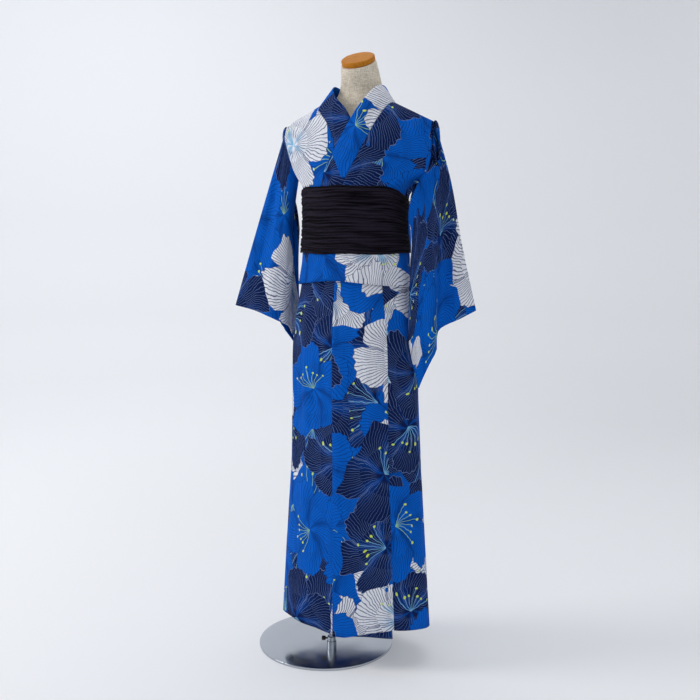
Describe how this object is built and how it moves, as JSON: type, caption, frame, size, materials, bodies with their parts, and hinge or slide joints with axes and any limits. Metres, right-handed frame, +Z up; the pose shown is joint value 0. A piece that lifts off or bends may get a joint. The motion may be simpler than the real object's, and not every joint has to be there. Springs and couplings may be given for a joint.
{
  "type": "yukata robe on a dress form",
  "caption": "Blue and white floral cotton yukata robe with a charcoal sash, worn by a limbless linen dress form on a round steel stand.",
  "frame": {"origin": "centre of the steel disc's underside, on the floor", "axes": "+Z up, the wearer faces -Y, the wearer's left is +X"},
  "size_m": [0.6016, 0.342, 1.4767],
  "materials": {
    "printed_cotton": "matte cotton printed with large flowers in blue, navy and white",
    "charcoal_crepe": "crinkled matte crepe",
    "linen": "cream linen cover",
    "cap_wood": "varnished",
    "steel": "polished plate and tube",
    "screw_black": "black"
  },
  "bodies": {
    "root": {"steel_disc": "steel", "pole_socket": "steel", "set_screw": "screw_black", "pole": "steel", "linen_form": "linen", "neck_cap": "cap_wood", "overlap_over": "printed_cotton", "front_left_skirt": "printed_cotton", "back_left_skirt": "printed_cotton", "back_right_skirt": "printed_cotton", "front_right_skirt": "printed_cotton", "overlap_under": "printed_cotton", "body_right": "printed_cotton", "body_left": "printed_cotton", "collar_right": "printed_cotton", "collar_left": "printed_cotton", "sleeve_left": "printed_cotton", "sleeve_right": "printed_cotton", "sash_band": "charcoal_crepe", "sash_knot": "charcoal_crepe", "sash_end_left": "charcoal_crepe", "sash_end_right": "charcoal_crepe"}
  },
  "joints": []
}
